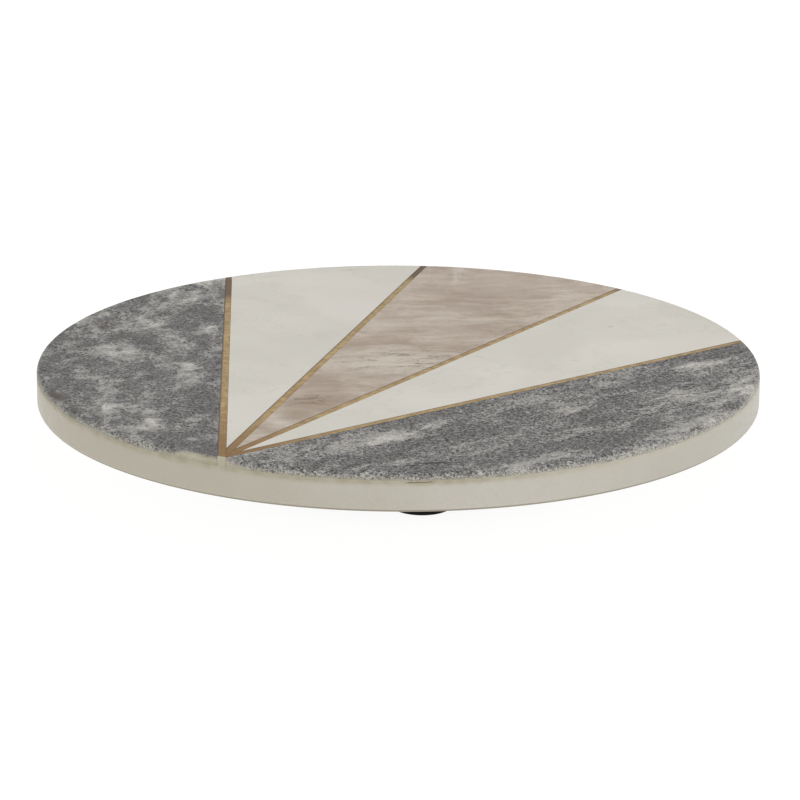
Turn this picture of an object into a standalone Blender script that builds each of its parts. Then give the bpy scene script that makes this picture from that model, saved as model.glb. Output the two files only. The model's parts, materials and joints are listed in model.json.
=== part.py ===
"""Lazy susan turntable: an inlaid marble top that turns on a steel ball bearing over a round footed base.

The row frame stands on the table: +Z is up and the origin is under the centre of the top, where the
soles of the feet stand. -Y faces the side where the four brass strips run together at the rim.
Every length is in metres and every angle in degrees.
"""

import math

import bmesh
import bpy
from mathutils import Vector

# Marble top
TOP_RADIUS = 0.1525
SLAB_THICKNESS = 0.012
BED_THICKNESS = 0.0008
TILE_THICKNESS = 0.0026
SHOULDER_RADIUS = 0.0024
UNDER_EDGE_RADIUS = 0.002

# Brass fan: every strip starts near one point just inside the rim and crosses the top in its own direction
APEX_RIM_MARGIN = 0.0033
APEX_AZIMUTH = -117.73
STRIP_DIRECTIONS = (91.61, 74.0, 55.55, 37.11)
STRIP_WIDTH_AT_APEX = 0.0034
STRIP_WIDTH_AT_FAR_RIM = 0.0026
TILE_NAMES = (
    "tile_grey_left",
    "tile_white_left",
    "tile_rose_beige",
    "tile_white_right",
    "tile_grey_front",
)

# Ball bearing
PLATE_RADIUS = 0.070
SCREW_EDGE_MARGIN = 0.010
SHEET = 0.001
BALL_RADIUS = 0.0025
BALL_COUNT = 16
PITCH_EDGE_MARGIN = 0.030
LAND_RISE = 0.0009
LAND_WIDTH = 0.0016
PRESSED_SLOPE = 0.0015
HUB_WALL = 0.003
CAGE_THICKNESS = 0.002
CAGE_WIDTH = 0.009
RIVET_RADIUS = 0.005
RIVET_WALL = 0.0016
RIVET_FLANGE_WIDTH = 0.0035
RIVET_FLANGE_THICKNESS = 0.0008
PIVOT_WASHER_THICKNESS = 0.0014
PIVOT_WASHER_WIDTH = 0.006

# Base and feet
BASE_RADIUS = 0.095
BASE_THICKNESS = 0.009
BASE_EDGE_RADIUS = 0.002
BASE_TURN = 7.35
FOOT_COUNT = 4
FOOT_EDGE_MARGIN = 0.0185
FOOT_HEIGHT = 0.006
FOOT_SOLE_RADIUS = 0.0125
FOOT_TAPER = 0.001
FOOT_EDGE_RADIUS = 0.0007
SCREW_TO_SOLE = 0.0008
WASHER_THICKNESS = 0.0010
WASHER_OVERHANG = 0.0016

# Fasteners: pan head screws, four in each ring, and the bushes that the upper ones turn into
SCREW_COUNT = 4
LOWER_SCREW_AZIMUTH = 45.0
ACCESS_HOLE_AZIMUTH = 22.5
ACCESS_HOLE_RADIUS = 0.006
HEAD_TO_SHANK = 1.8
HEAD_HEIGHT = 0.0018
WOOD_SCREW_RADIUS = 0.00175
MACHINE_SCREW_RADIUS = 0.002
BUSH_WALL = 0.0013
HOLE_END_ROOM = 0.0008
BASE_FLOOR = 0.002
SLAB_ROOF = 0.0039

# Clearances
FIT_GAP = 0.0003
RACE_CLEARANCE = 0.0002
POCKET_CLEARANCE = 0.00025

# Facets round each kind of turned piece
TOP_FACETS = 96
BEARING_FACETS = 48
BASE_FACETS = 72
FOOT_FACETS = 20
RIVET_FACETS = 24
SMALL_FACETS = 12
BALL_MERIDIANS = 10
BALL_PARALLELS = 6
ARC_STEPS = 3
SHARP_ANGLE = 30

# How far a strip's plan runs on past the rim, as a share of its length
STRIP_OVERRUN = 0.2

# Heights, built up from the table
BASE_BOTTOM = FOOT_HEIGHT
BASE_TOP = BASE_BOTTOM + BASE_THICKNESS
BEARING_BOTTOM = BASE_TOP + FIT_GAP
RACE_RADIUS = BALL_RADIUS + RACE_CLEARANCE
BALL_CENTRE = BEARING_BOTTOM + SHEET + RACE_RADIUS
BEARING_TOP = 2 * BALL_CENTRE - BEARING_BOTTOM
SLAB_BOTTOM = BEARING_TOP + FIT_GAP
SLAB_TOP = SLAB_BOTTOM + SLAB_THICKNESS
BED_BOTTOM = SLAB_TOP + FIT_GAP
BED_TOP = BED_BOTTOM + BED_THICKNESS
TILE_BOTTOM = BED_TOP + FIT_GAP
TOP_FACE = TILE_BOTTOM + TILE_THICKNESS

# Sizes that follow from the ones above
PITCH_RADIUS = PLATE_RADIUS - PITCH_EDGE_MARGIN
HUB_RISE = BALL_CENTRE - BEARING_BOTTOM - PIVOT_WASHER_THICKNESS / 2 - FIT_GAP
PIVOT_HOLE_RADIUS = RIVET_RADIUS + FIT_GAP
PIVOT_WASHER_RADIUS = RIVET_RADIUS + PIVOT_WASHER_WIDTH
HUB_RADIUS = PIVOT_WASHER_RADIUS + HUB_WALL
PLATE_SCREW_CIRCLE_RADIUS = PLATE_RADIUS - SCREW_EDGE_MARGIN
FOOT_CIRCLE_RADIUS = BASE_RADIUS - FOOT_EDGE_MARGIN
FOOT_TOP_RADIUS = FOOT_SOLE_RADIUS + FOOT_TAPER
FOOT_RECESS_DEPTH = SCREW_TO_SOLE + HEAD_HEIGHT + WASHER_THICKNESS + 2 * FIT_GAP
HEAD_RADIUS = HEAD_TO_SHANK * MACHINE_SCREW_RADIUS
WASHER_RADIUS = HEAD_RADIUS + WASHER_OVERHANG
WOOD_SCREW_GRIP = BASE_THICKNESS - BASE_FLOOR - HOLE_END_ROOM
BUSH_RADIUS = MACHINE_SCREW_RADIUS + FIT_GAP + BUSH_WALL
BUSH_LENGTH = SLAB_THICKNESS - SLAB_ROOF - HOLE_END_ROOM - FIT_GAP
MACHINE_SCREW_GRIP = BUSH_LENGTH - HOLE_END_ROOM

MATERIALS = {
    "white_marble": ((0.80, 0.78, 0.72), 0.35, 0.0),
    "grey_marble": ((0.30, 0.30, 0.29), 0.45, 0.0),
    "rose_beige_marble": ((0.50, 0.43, 0.37), 0.40, 0.0),
    "resin": ((0.52, 0.48, 0.36), 0.55, 0.0),
    "brass": ((0.55, 0.38, 0.18), 0.38, 1.0),
    "zinc_steel": ((0.62, 0.63, 0.62), 0.40, 1.0),
    "nylon": ((0.75, 0.74, 0.70), 0.50, 0.0),
    "black_lacquer": ((0.012, 0.012, 0.012), 0.45, 0.0),
    "black_rubber": ((0.008, 0.008, 0.008), 0.75, 0.0),
}


def clear_scene():
    for obj in list(bpy.data.objects):
        bpy.data.objects.remove(obj, do_unlink=True)


def material(slot):
    found = bpy.data.materials.get(slot)
    if found:
        return found
    colour, roughness, metallic = MATERIALS[slot]
    made = bpy.data.materials.new(slot)
    made.use_nodes = True
    shader = made.node_tree.nodes["Principled BSDF"]
    shader.inputs["Base Color"].default_value = (*colour, 1.0)
    shader.inputs["Roughness"].default_value = roughness
    shader.inputs["Metallic"].default_value = metallic
    return made


def frame_empty(name, turn=0.0):
    """A body's own frame: an empty on the turntable's axis, at the table."""
    empty = bpy.data.objects.new(name, None)
    empty.rotation_euler.z = math.radians(turn)
    bpy.context.scene.collection.objects.link(empty)
    return empty


def place(mesh, name, slot, parent, location=(0, 0, 0), azimuth=0.0):
    """An object that shows mesh in a body's frame."""
    obj = bpy.data.objects.new(name, mesh)
    if not mesh.materials:
        mesh.materials.append(material(slot))
    obj.parent = parent
    obj.location = location
    obj.rotation_euler.z = math.radians(azimuth)
    bpy.context.scene.collection.objects.link(obj)
    return obj


def mesh_from(builder, name):
    bmesh.ops.recalc_face_normals(builder, faces=builder.faces)
    mesh = bpy.data.meshes.new(name)
    builder.to_mesh(mesh)
    builder.free()
    mesh.shade_smooth()
    mesh.set_sharp_from_angle(angle=math.radians(SHARP_ANGLE))
    return mesh


def polar(radius, azimuth, height=0.0):
    angle = math.radians(azimuth)
    return Vector((radius * math.cos(angle), radius * math.sin(angle), height))


def ring_azimuths(count, first=0.0):
    return [first + index * 360 / count for index in range(count)]


def add_turned(builder, outline, facets, centre=(0, 0, 0)):
    """Turns a closed outline of (radius, height) pairs about the upright line through centre."""
    rings = []
    for radius, height in outline:
        if radius == 0:
            pole = builder.verts.new(Vector(centre) + Vector((0, 0, height)))
            rings.append([pole] * facets)
        else:
            rings.append(
                [builder.verts.new(Vector(centre) + polar(radius, a, height)) for a in ring_azimuths(facets)]
            )
    for ring, following in zip(rings, rings[1:] + rings[:1]):
        for i in range(facets):
            j = (i + 1) % facets
            corners = list(dict.fromkeys((ring[i], ring[j], following[j], following[i])))
            if len(corners) > 2:
                builder.faces.new(corners)


def turned(name, outline, facets):
    builder = bmesh.new()
    add_turned(builder, outline, facets)
    return mesh_from(builder, name)


def arc(centre_radius, centre_height, radius, start, end, steps):
    """Points of a round stretch of an outline, from angle start to angle end."""
    points = []
    for index in range(steps + 1):
        angle = math.radians(start + (end - start) * index / steps)
        points.append(
            (centre_radius + radius * math.cos(angle), centre_height + radius * math.sin(angle))
        )
    return points


def disc_outline(radius, bottom, top, bottom_edge=0.0, top_edge=0.0):
    """Half section of a solid disc whose rim is rounded below and above."""
    outline = [(0, bottom)]
    if bottom_edge:
        outline += arc(radius - bottom_edge, bottom + bottom_edge, bottom_edge, -90, 0, ARC_STEPS)
    else:
        outline.append((radius, bottom))
    if top_edge:
        outline += arc(radius - top_edge, top - top_edge, top_edge, 0, 90, ARC_STEPS)
    else:
        outline.append((radius, top))
    return outline + [(0, top)]


def ring_outline(inner, outer, bottom, top):
    return [(inner, bottom), (outer, bottom), (outer, top), (inner, top)]


def prism(name, corners, bottom, top):
    """An upright prism on a flat outline of (x, y) corners."""
    builder = bmesh.new()
    floor = [builder.verts.new((x, y, bottom)) for x, y in corners]
    roof = [builder.verts.new((x, y, top)) for x, y in corners]
    builder.faces.new(floor)
    builder.faces.new(roof)
    for i in range(len(corners)):
        j = (i + 1) % len(corners)
        builder.faces.new((floor[i], floor[j], roof[j], roof[i]))
    return mesh_from(builder, name)


def combine(obj, cutter_mesh, operation):
    """Cuts obj with a hidden helper, or keeps only what they share."""
    cutter = bpy.data.objects.new(cutter_mesh.name, cutter_mesh)
    cutter.parent = obj.parent
    cutter.hide_render = True
    cutter.display_type = "WIRE"
    bpy.context.scene.collection.objects.link(cutter)
    boolean = obj.modifiers.new(cutter.name, "BOOLEAN")
    boolean.operation = operation
    boolean.solver = "EXACT"
    boolean.object = cutter


def drill(obj, name, places, radius, bottom, top):
    """Cuts the same upright round hole at each of places."""
    builder = bmesh.new()
    for centre in places:
        add_turned(builder, disc_outline(radius, bottom, top), SMALL_FACETS, centre)
    combine(obj, mesh_from(builder, name), "DIFFERENCE")


# The marble top -----------------------------------------------------------------------------------


def fan_apex():
    return polar(TOP_RADIUS - APEX_RIM_MARGIN, APEX_AZIMUTH).xy


def strip_edge(index, side, clearance=0.0):
    """One long edge of a strip, as two points beyond the rim: side 1 is its left, -1 its right."""
    along = polar(1, STRIP_DIRECTIONS[index]).xy
    across = Vector((-along.y, along.x)) * side
    length = 2 * TOP_RADIUS
    start = fan_apex() + across * (STRIP_WIDTH_AT_APEX / 2 + clearance)
    end = fan_apex() + along * length + across * (STRIP_WIDTH_AT_FAR_RIM / 2 + clearance)
    reach = (end - start) * STRIP_OVERRUN
    return start - reach, end + reach


def crossing(first, second):
    """Where two lines, each given by two points, meet."""
    p, q = first
    r, s = second
    u, v = q - p, s - r
    return p + u * ((r - p).cross(v) / u.cross(v))


def strip_corners(index):
    """A strip's plan: a tapering bar, mitred against the right edge of the strip before it."""
    left, right = strip_edge(index, 1), strip_edge(index, -1)
    if index == 0:
        return [right[0], right[1], left[1], left[0]]
    stop = strip_edge(index - 1, -1, FIT_GAP)
    return [crossing(right, stop), right[1], left[1], crossing(left, stop)]


def tile_corners(index):
    """A tile's plan: the wedge between two strips, or all that lies outside the first or the last strip."""
    last = len(STRIP_DIRECTIONS)
    if index == 0:
        edge = strip_edge(0, 1, FIT_GAP)
        outward = polar(2 * TOP_RADIUS, STRIP_DIRECTIONS[0] + 90).xy
        return [edge[0], edge[1], edge[1] + outward, edge[0] + outward]
    if index == last:
        edge = strip_edge(last - 1, -1, FIT_GAP)
        start = crossing(edge, strip_edge(0, -1, FIT_GAP))
        outward = polar(2 * TOP_RADIUS, STRIP_DIRECTIONS[-1] - 90).xy
        rearward = polar(2 * TOP_RADIUS, STRIP_DIRECTIONS[0] + 180).xy
        return [start, start + rearward, start + rearward + outward, edge[1] + outward, edge[1]]
    right_of_one = strip_edge(index - 1, -1, FIT_GAP)
    left_of_next = strip_edge(index, 1, FIT_GAP)
    return [crossing(right_of_one, left_of_next), left_of_next[1], right_of_one[1]]


def inlay_piece(name, slot, frame, corners):
    """A tile or strip: the part of the inlay layer that stands over its plan."""
    layer = turned(name, disc_outline(TOP_RADIUS, TILE_BOTTOM, TOP_FACE, 0, SHOULDER_RADIUS), TOP_FACETS)
    piece = place(layer, name, slot, frame)
    plan = prism("plan_of_" + name, corners, TILE_BOTTOM - TILE_THICKNESS, TOP_FACE + TILE_THICKNESS)
    combine(piece, plan, "INTERSECT")


def build_inlay(frame):
    slots = {"grey": "grey_marble", "white": "white_marble", "rose": "rose_beige_marble"}
    for index, name in enumerate(TILE_NAMES):
        inlay_piece(name, slots[name.split("_")[1]], frame, tile_corners(index))
    for index in range(len(STRIP_DIRECTIONS)):
        inlay_piece(f"brass_strip_{index + 1}", "brass", frame, strip_corners(index))


def build_slab(frame):
    outline = disc_outline(TOP_RADIUS, SLAB_BOTTOM, SLAB_TOP, UNDER_EDGE_RADIUS)
    slab = place(turned("carrier_slab", outline, TOP_FACETS), "carrier_slab", "white_marble", frame)
    drill(
        slab,
        "bush_seats",
        [polar(PLATE_SCREW_CIRCLE_RADIUS, a) for a in ring_azimuths(SCREW_COUNT)],
        BUSH_RADIUS + FIT_GAP,
        SLAB_BOTTOM - BUSH_LENGTH,
        SLAB_BOTTOM + FIT_GAP + BUSH_LENGTH + HOLE_END_ROOM,
    )
    bed = disc_outline(TOP_RADIUS, BED_BOTTOM, BED_TOP)
    place(turned("resin_bed", bed, TOP_FACETS), "resin_bed", "resin", frame)


# The bearing --------------------------------------------------------------------------------------


def plate_outline():
    """Half section of a pressed bearing plate lying on its mounting face, with the race on top."""
    land = SHEET + LAND_RISE
    race_centre = SHEET + RACE_RADIUS
    lip_angle = math.degrees(math.asin((race_centre - land) / RACE_RADIUS))
    race = arc(PITCH_RADIUS, race_centre, RACE_RADIUS, -lip_angle, lip_angle - 180, 2 * ARC_STEPS - 2)
    outer_land = race[0][0] + LAND_WIDTH
    inner_land = race[-1][0] - LAND_WIDTH
    face = [
        (PLATE_RADIUS, SHEET),
        (outer_land + PRESSED_SLOPE, SHEET),
        (outer_land, land),
        *race,
        (inner_land, land),
        (inner_land - PRESSED_SLOPE, SHEET),
        (HUB_RADIUS + PRESSED_SLOPE, SHEET),
        (HUB_RADIUS, HUB_RISE),
        (PIVOT_HOLE_RADIUS, HUB_RISE),
    ]
    back = [(radius, height - SHEET) for radius, height in reversed(face)]
    return face + back


def build_plate(name, frame, faces_up, screw_radius):
    """A bearing plate, upright on the base or turned over under the marble."""
    bottom, sign = (BEARING_BOTTOM, 1) if faces_up else (BEARING_TOP, -1)
    outline = [(radius, bottom + sign * height) for radius, height in plate_outline()]
    plate = place(turned(name, outline, BEARING_FACETS), name, "zinc_steel", frame)
    first = LOWER_SCREW_AZIMUTH if faces_up else 0.0
    drill(
        plate,
        name + "_screw_holes",
        [polar(PLATE_SCREW_CIRCLE_RADIUS, a) for a in ring_azimuths(SCREW_COUNT, first)],
        screw_radius + FIT_GAP,
        bottom - 2 * SHEET,
        bottom + 2 * SHEET,
    )
    return plate


def build_pivot(frame):
    """The tubular rivet that holds the plates together, and the washer between their hubs."""
    lower_hub = BEARING_BOTTOM + HUB_RISE - SHEET
    upper_hub = BEARING_TOP - HUB_RISE + SHEET
    bore = RIVET_RADIUS - RIVET_WALL
    flange = RIVET_RADIUS + RIVET_FLANGE_WIDTH
    under = lower_hub - FIT_GAP
    over = upper_hub + FIT_GAP
    outline = [
        (bore, under - RIVET_FLANGE_THICKNESS),
        (flange, under - RIVET_FLANGE_THICKNESS),
        (flange, under),
        (RIVET_RADIUS, under),
        (RIVET_RADIUS, over),
        (flange, over),
        (flange, over + RIVET_FLANGE_THICKNESS),
        (bore, over + RIVET_FLANGE_THICKNESS),
    ]
    place(turned("pivot_rivet", outline, RIVET_FACETS), "pivot_rivet", "zinc_steel", frame)
    half = PIVOT_WASHER_THICKNESS / 2
    washer = ring_outline(PIVOT_HOLE_RADIUS, PIVOT_WASHER_RADIUS, BALL_CENTRE - half, BALL_CENTRE + half)
    place(turned("pivot_washer", washer, RIVET_FACETS), "pivot_washer", "nylon", frame)


def ball_mesh():
    outline = arc(0, 0, BALL_RADIUS, -90, 90, BALL_PARALLELS)
    outline[0] = (0, -BALL_RADIUS)
    outline[-1] = (0, BALL_RADIUS)
    return turned("ball", outline, BALL_MERIDIANS)


def build_cage(frame):
    """The ball retainer, which goes round at half the speed of the top, and its balls."""
    half = CAGE_THICKNESS / 2
    outline = ring_outline(
        PITCH_RADIUS - CAGE_WIDTH / 2, PITCH_RADIUS + CAGE_WIDTH / 2, BALL_CENTRE - half, BALL_CENTRE + half
    )
    cage = place(turned("ball_cage", outline, BEARING_FACETS), "ball_cage", "nylon", frame)
    places = [polar(PITCH_RADIUS, a) for a in ring_azimuths(BALL_COUNT)]
    pocket = BALL_RADIUS + POCKET_CLEARANCE
    drill(cage, "ball_pockets", places, pocket, BALL_CENTRE - pocket, BALL_CENTRE + pocket)
    ball = ball_mesh()
    for number, spot in enumerate(places, 1):
        place(ball, f"ball_{number:02d}", "zinc_steel", frame, spot + Vector((0, 0, BALL_CENTRE)))


# Fasteners ----------------------------------------------------------------------------------------


def pan_screw(name, shank_radius, shank_length):
    """A pan head screw with its head's underside at height 0 and its shank going up."""
    crown = arc(HEAD_RADIUS - HEAD_HEIGHT / 2, -HEAD_HEIGHT / 2, HEAD_HEIGHT / 2, -90, 0, ARC_STEPS - 1)
    outline = [(0, -HEAD_HEIGHT), *crown, (HEAD_RADIUS, 0), (shank_radius, 0)]
    outline += [(shank_radius, shank_length - shank_radius), (0, shank_length)]
    return turned(name, outline, SMALL_FACETS)


def screw_ring(name, mesh, frame, circle_radius, first, height, turned_over):
    """The same screw four times round the axis; turned over, its shank points down."""
    for number, azimuth in enumerate(ring_azimuths(SCREW_COUNT, first), 1):
        screw = place(mesh, f"{name}_{number}", "zinc_steel", frame, polar(circle_radius, azimuth, height))
        if turned_over:
            screw.rotation_euler.x = math.pi


def build_bushes(frame):
    bore = MACHINE_SCREW_RADIUS + FIT_GAP
    bush = turned("threaded_bush", ring_outline(bore, BUSH_RADIUS, 0, BUSH_LENGTH), SMALL_FACETS)
    for number, azimuth in enumerate(ring_azimuths(SCREW_COUNT), 1):
        spot = polar(PLATE_SCREW_CIRCLE_RADIUS, azimuth, SLAB_BOTTOM + FIT_GAP)
        place(bush, f"threaded_bush_{number}", "brass", frame, spot)


# Base and feet ------------------------------------------------------------------------------------


def build_base_disc(frame):
    outline = disc_outline(BASE_RADIUS, BASE_BOTTOM, BASE_TOP, BASE_EDGE_RADIUS, BASE_EDGE_RADIUS)
    disc = place(turned("base_disc", outline, BASE_FACETS), "base_disc", "black_lacquer", frame)
    pilot = WOOD_SCREW_RADIUS + FIT_GAP
    depth = WOOD_SCREW_GRIP + HOLE_END_ROOM
    feet = [polar(FOOT_CIRCLE_RADIUS, a) for a in ring_azimuths(FOOT_COUNT)]
    plate = [polar(PLATE_SCREW_CIRCLE_RADIUS, a) for a in ring_azimuths(SCREW_COUNT, LOWER_SCREW_AZIMUTH)]
    drill(disc, "foot_pilots", feet, pilot, BASE_BOTTOM - depth, BASE_BOTTOM + depth)
    drill(disc, "plate_pilots", plate, pilot, BASE_TOP - depth, BASE_TOP + depth)
    access = [polar(PLATE_SCREW_CIRCLE_RADIUS, ACCESS_HOLE_AZIMUTH)]
    drill(disc, "driver_hole", access, ACCESS_HOLE_RADIUS, BASE_BOTTOM - depth, BASE_TOP + depth)


def foot_outline():
    """Half section of a rubber foot, tapering to its sole, with a recess for the screw."""
    recess = WASHER_RADIUS + FIT_GAP
    hole = WOOD_SCREW_RADIUS + FIT_GAP
    top = FOOT_HEIGHT - FIT_GAP
    sole = arc(FOOT_SOLE_RADIUS - FOOT_EDGE_RADIUS, FOOT_EDGE_RADIUS, FOOT_EDGE_RADIUS, -90, 0, ARC_STEPS - 1)
    return [
        (recess, 0),
        *sole,
        (FOOT_TOP_RADIUS, top),
        (hole, top),
        (hole, FOOT_RECESS_DEPTH),
        (recess, FOOT_RECESS_DEPTH),
    ]


def build_feet(frame):
    foot = turned("foot", foot_outline(), FOOT_FACETS)
    hole = WOOD_SCREW_RADIUS + FIT_GAP
    washer = turned("foot_washer", ring_outline(hole, WASHER_RADIUS, 0, WASHER_THICKNESS), SMALL_FACETS)
    washer_bottom = FOOT_RECESS_DEPTH - FIT_GAP - WASHER_THICKNESS
    head_seat = washer_bottom - FIT_GAP
    screw = pan_screw("foot_screw", WOOD_SCREW_RADIUS, BASE_BOTTOM + WOOD_SCREW_GRIP - head_seat)
    for number, azimuth in enumerate(ring_azimuths(FOOT_COUNT), 1):
        spot = polar(FOOT_CIRCLE_RADIUS, azimuth)
        place(foot, f"foot_{number}", "black_rubber", frame, spot)
        place(washer, f"foot_washer_{number}", "zinc_steel", frame, spot + Vector((0, 0, washer_bottom)))
        place(screw, f"foot_screw_{number}", "zinc_steel", frame, spot + Vector((0, 0, head_seat)))


# Assembly -----------------------------------------------------------------------------------------


def build_base(frame):
    build_base_disc(frame)
    build_feet(frame)
    plate = build_plate("lower_plate", frame, True, WOOD_SCREW_RADIUS)
    access = [polar(PLATE_SCREW_CIRCLE_RADIUS, ACCESS_HOLE_AZIMUTH)]
    drill(plate, "plate_driver_hole", access, ACCESS_HOLE_RADIUS, BASE_TOP, BEARING_BOTTOM + 2 * SHEET)
    build_pivot(frame)
    seat = BEARING_BOTTOM + SHEET + FIT_GAP
    screw = pan_screw("lower_screw", WOOD_SCREW_RADIUS, seat - BASE_TOP + WOOD_SCREW_GRIP)
    screw_ring("lower_screw", screw, frame, PLATE_SCREW_CIRCLE_RADIUS, LOWER_SCREW_AZIMUTH, seat, True)


def build_turntable(frame):
    build_inlay(frame)
    build_slab(frame)
    build_plate("upper_plate", frame, False, MACHINE_SCREW_RADIUS)
    seat = BEARING_TOP - SHEET - FIT_GAP
    screw = pan_screw("upper_screw", MACHINE_SCREW_RADIUS, SLAB_BOTTOM + MACHINE_SCREW_GRIP - seat)
    screw_ring("upper_screw", screw, frame, PLATE_SCREW_CIRCLE_RADIUS, 0.0, seat, False)
    build_bushes(frame)


def main():
    clear_scene()
    build_base(frame_empty("base_frame", BASE_TURN))
    build_cage(frame_empty("cage_frame"))
    build_turntable(frame_empty("turntable_frame"))


main()
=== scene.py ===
"""Looks of the lazy susan turntable: fine meshes, procedural materials, light and camera.

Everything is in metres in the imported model's frame: +Z is up, and the origin is on the table, under the
centre of the top. Each fine piece stands for one CAD node, has its place and size from that node, and rides
on the same body.
"""

import json
import math

import bmesh
import bpy
from mathutils import Matrix, Vector, noise


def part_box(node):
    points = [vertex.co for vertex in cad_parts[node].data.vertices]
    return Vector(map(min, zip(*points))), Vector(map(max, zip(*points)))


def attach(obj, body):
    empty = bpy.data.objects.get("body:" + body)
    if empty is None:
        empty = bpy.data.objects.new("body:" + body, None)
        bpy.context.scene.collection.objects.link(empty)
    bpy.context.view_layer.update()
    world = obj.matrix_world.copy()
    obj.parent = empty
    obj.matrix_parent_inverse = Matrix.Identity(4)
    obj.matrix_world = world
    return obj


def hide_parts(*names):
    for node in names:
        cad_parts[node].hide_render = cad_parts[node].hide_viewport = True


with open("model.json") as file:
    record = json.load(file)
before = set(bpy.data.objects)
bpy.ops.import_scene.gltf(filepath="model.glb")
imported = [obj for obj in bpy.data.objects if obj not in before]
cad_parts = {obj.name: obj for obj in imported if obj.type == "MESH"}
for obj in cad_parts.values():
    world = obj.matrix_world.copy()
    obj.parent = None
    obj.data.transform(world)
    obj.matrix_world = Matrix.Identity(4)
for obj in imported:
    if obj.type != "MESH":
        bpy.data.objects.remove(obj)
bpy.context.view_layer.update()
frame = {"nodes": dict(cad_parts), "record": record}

MM = 0.001

# Camera: where the top's centre is seen from, and how far from it the camera aims
CAMERA_DISTANCE = 1.83
CAMERA_ELEVATION = 16.82
CAMERA_ROLL = 0.31
AIM_DOWN = 0.5185
AIM_RIGHT = 0.021
LENS = 194.75
SENSOR = 36.0

# Light: an even sky and one large soft lamp overhead, a little to the right and to the front
SKY_STRENGTH = 0.50
FLOOR_GLOW = 0.94
KEY_PLACE = (0.75, -0.45, 2.85)
KEY_SIZE = 2.0
KEY_POWER = 47.0
FLOOR_REACH = 12

# How bright a metal looks in this light, as a share of a matt surface of the same colour
METAL_GAIN = 0.58

# The inlay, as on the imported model
APEX_RIM_MARGIN = 3.3 * MM
APEX_AZIMUTH = -117.73
STRIP_DIRECTIONS = (91.61, 74.0, 55.55, 37.11)
STRIP_WIDTH_AT_APEX = 3.4 * MM
STRIP_WIDTH_AT_FAR_RIM = 2.6 * MM
SHOULDER_RADIUS = 2.4 * MM
UNDER_EDGE_RADIUS = 2.0 * MM
JOINT_GAP = 0.1 * MM

FLAT_MARGIN = 1.5 * MM
SEAT_CLEARANCE = 0.2 * MM
SEAT_ROOM = 1 * MM

# The hand-ground shoulder: how deep its unevenness is, and how fine
GROUND_DEPTH = 0.11 * MM
GROUND_SCALE = 420

# How far a strip's plan runs on past the rim, as a share of its length, and a cutter past what it cuts
STRIP_OVERRUN = 0.2
PAST = 5 * MM

# Facets and steps of the fine meshes
RIM_FACETS = 720
BASE_FACETS = 288
RING_FACETS = 144
FOOT_FACETS = 96
SMALL_FACETS = 48
SCREW_FACETS = 36
BALL_MERIDIANS = 32
BALL_PARALLELS = 20
RIM_STEPS = 8
EDGE_STEPS = 6
SHARP_ANGLE = 35


# Sizes read from the CAD nodes -----


def span(node):
    """(centre of a node's plan, largest distance of its points from there, lowest and highest height)."""
    low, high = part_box(node)
    points = [vertex.co for vertex in frame["nodes"][node].data.vertices]
    middle = Vector(((low.x + high.x) / 2, (low.y + high.y) / 2))
    return middle, max((p.xy - middle).length for p in points), low.z, high.z


def ring_radii(node):
    """The smallest and largest distance of a node's points from the turntable's axis."""
    reach = [vertex.co.xy.length for vertex in frame["nodes"][node].data.vertices]
    return min(reach), max(reach)


def heights(node):
    """A node's lowest and highest height."""
    low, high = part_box(node)
    return low.z, high.z


def numbered(kind):
    """The nodes of a ring of identical pieces."""
    return [f"{kind}_{number}" for number in range(1, RING_COUNT + 1)]


def centres(nodes):
    return [span(node)[0] for node in nodes]


def body_of(node):
    return next(body for body, nodes in frame["record"]["behaviour"]["bodies"].items() if node in nodes)


TOP_RADIUS = span("carrier_slab")[1]
SLAB_BOTTOM, SLAB_TOP = heights("carrier_slab")
TILE_BOTTOM, TOP_FACE = heights("tile_grey_front")

# The bearing's section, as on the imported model
PLATE_RADIUS = span("lower_plate")[1]
SHEET = 1.0 * MM
BALL_RADIUS = 2.5 * MM
RACE_RADIUS = 2.7 * MM
RACE_STEPS = 12
PITCH_RADIUS = 40.0 * MM
LAND_RISE = 0.9 * MM
LAND_WIDTH = 1.6 * MM
PRESSED_SLOPE = 1.5 * MM
CAGE_WIDTH = 9.0 * MM
HUB_RADIUS = 14.0 * MM
HUB_RISE = 2.7 * MM
PIVOT_HOLE_RADIUS = 5.3 * MM
RIVET_FLANGE = 0.8 * MM
RIVET_CLEARANCE = 0.3 * MM
POCKET_CLEARANCE = 0.25 * MM
BALL_COUNT = 16
RING_COUNT = 4

# The base and its feet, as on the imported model
BASE_TURN = 7.35
BASE_EDGE_RADIUS = 2.0 * MM
PLATE_SCREW_RADIUS = span("upper_screw_1")[0].length
ACCESS_HOLE_AZIMUTH = 22.5
ACCESS_RADIUS = 6.0 * MM
SOLE_RADIUS = 12.5 * MM
FOOT_TOP_RADIUS = 13.5 * MM
FOOT_EDGE = 0.7 * MM
FOOT_RECESS_RADIUS = 5.5 * MM
FOOT_RECESS_DEPTH = 4.2 * MM

FOOT_ROUNDING = 0.25 * MM
PILOT_REST = 2 * MM

# Three grooves in each sole, and a fine one round its side
GROOVE_COUNT = 3
SOLE_LAND = 0.9 * MM
FIRST_GROOVE = 1.6 * MM
GROOVE_PITCH = 1.8 * MM
GROOVE_DEPTH = 0.35 * MM
GROOVE_HALF_WIDTH = 0.35 * MM
GROOVE_HALF_FLOOR = 0.15 * MM
SIDE_GROOVE_HEIGHT = 3.2 * MM
SIDE_GROOVE_WIDTH = 0.4 * MM
SIDE_GROOVE_DEPTH = 0.18 * MM

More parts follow.
